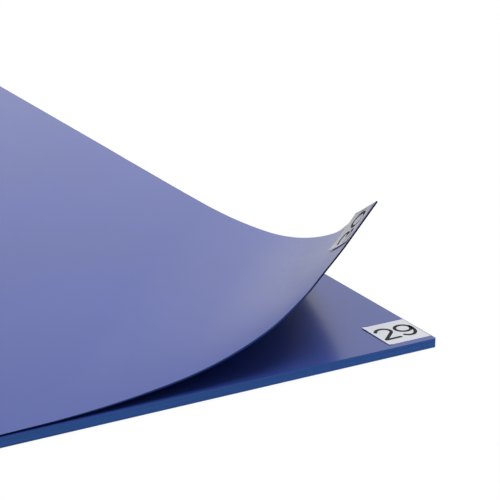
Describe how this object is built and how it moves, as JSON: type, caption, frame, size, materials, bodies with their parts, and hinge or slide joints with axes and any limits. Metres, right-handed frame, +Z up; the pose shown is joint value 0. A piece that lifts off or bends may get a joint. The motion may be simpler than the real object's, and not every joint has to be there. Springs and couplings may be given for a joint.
{
  "type": "cleanroom sticky mat",
  "caption": "Rectangular pad of thin tacky blue film sheets laid one on another, with the top sheet's corner peeled up in a smooth curl and a square number tab on each sheet.",
  "frame": {"origin": "middle of the mat's underside", "axes": "+X across the width, +Y along the length, +Z up; the peeled corner is at +X and -Y"},
  "size_m": [0.457, 0.914, 0.0447],
  "materials": {
    "pad_film": "satin",
    "peeled_film": "satin",
    "number_tab": "matte"
  },
  "bodies": {
    "root": {"pad_sheets": "pad_film", "peeled_sheet": "peeled_film", "covered_tabs": "number_tab", "exposed_tab": "number_tab", "peeled_tab": "number_tab"}
  },
  "joints": []
}
